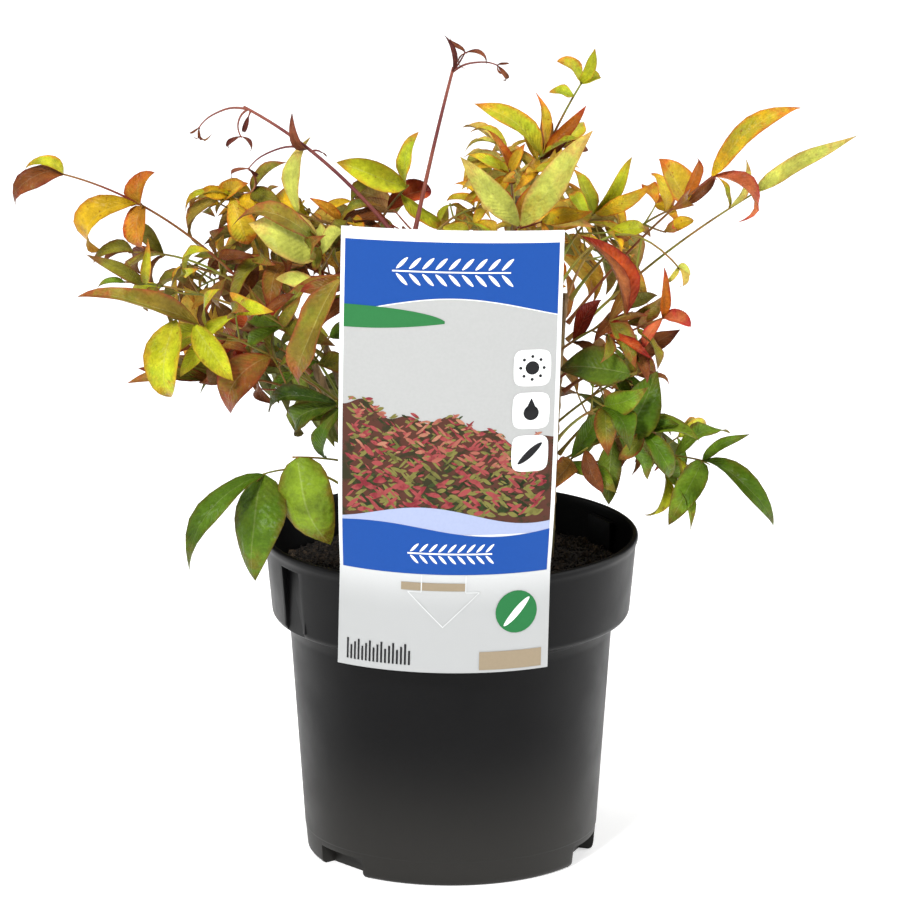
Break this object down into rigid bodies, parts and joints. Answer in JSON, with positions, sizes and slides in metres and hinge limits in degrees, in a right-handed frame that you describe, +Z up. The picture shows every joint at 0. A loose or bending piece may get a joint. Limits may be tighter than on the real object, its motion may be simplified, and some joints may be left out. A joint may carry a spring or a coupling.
{
  "type": "potted heavenly bamboo",
  "caption": "Dwarf heavenly bamboo in autumn tints: thin canes with fronds of pointed leaflets, in a round black nursery pot of potting mix with a tall card label hooked on its rim.",
  "frame": {"origin": "centre of the pot's flat underside", "axes": "+Z up; -Y is the side that the label stands on; +X to the right of it"},
  "size_m": [0.3179, 0.2087, 0.318],
  "materials": {
    "pot_plastic": "satin dark charcoal",
    "potting_mix": "coarse, damp, near black",
    "label_card": "printed card",
    "cane_bark": "rough",
    "leaf_russet": "leaf, slightly waxy",
    "leaf_olive": "leaf, slightly waxy",
    "leaf_green": "leaf, slightly waxy",
    "leaf_gold": "leaf, slightly waxy",
    "leaf_lime": "leaf, slightly waxy",
    "leaf_crimson": "leaf, slightly waxy",
    "leaf_orange": "leaf, slightly waxy",
    "leaf_pale": "leaf, slightly waxy"
  },
  "bodies": {
    "root": {"pot": "pot_plastic", "soil": "potting_mix", "plant_label": "label_card", "cane_a": "cane_bark", "cane_b": "cane_bark", "cane_c": "cane_bark", "cane_d": "cane_bark", "cane_e": "cane_bark", "cane_f": "cane_bark", "cane_g": "cane_bark", "cane_h": "cane_bark", "cane_k": "cane_bark", "frond_far_left": "leaf_russet", "frond_left_upper": "leaf_olive", "frond_left_mid": "leaf_olive", "frond_left_long": "leaf_olive", "frond_left_low": "leaf_russet", "frond_left_olive": "leaf_olive", "frond_left_inner": "leaf_olive", "frond_left_dark": "leaf_green", "frond_left_hang": "leaf_green", "frond_left_hang_in": "leaf_green", "frond_gold_left": "leaf_gold", "frond_upright_left": "leaf_lime", "frond_olive_left": "leaf_olive", "frond_mid_left": "leaf_russet", "frond_under_left": "leaf_russet", "frond_young_shoot_left": "leaf_crimson", "frond_shoulder_left": "leaf_olive", "frond_lance_left": "leaf_lime", "frond_young_shoot_top": "leaf_crimson", "frond_top_yellow": "leaf_lime", "frond_top_gold": "leaf_gold", "frond_top_lance": "leaf_orange", "frond_top_tip": "leaf_lime", "frond_top_middle": "leaf_gold", "frond_right_yellow": "leaf_gold", "frond_right_gold": "leaf_gold", "frond_far_right_red": "leaf_orange", "frond_far_right": "leaf_olive", "frond_right_arch": "leaf_pale", "frond_right_red_up": "leaf_orange", "frond_right_red": "leaf_russet", "frond_right_mid": "leaf_russet", "frond_right_dark": "leaf_green", "frond_right_low_in": "leaf_green", "frond_right_low_far": "leaf_green", "frond_right_low_mid": "leaf_green", "frond_right_low_near": "leaf_green", "frond_front_high": "leaf_olive", "frond_front_low": "leaf_green", "frond_back_left_high": "leaf_olive", "frond_back_left": "leaf_gold", "frond_back_left_low": "leaf_green", "frond_back_mid_high": "leaf_lime", "frond_back_mid": "leaf_russet", "frond_back_mid_right": "leaf_orange", "frond_back_mid_low": "leaf_green", "frond_back_right_high": "leaf_gold", "frond_back_right_low": "leaf_green"}
  },
  "joints": []
}
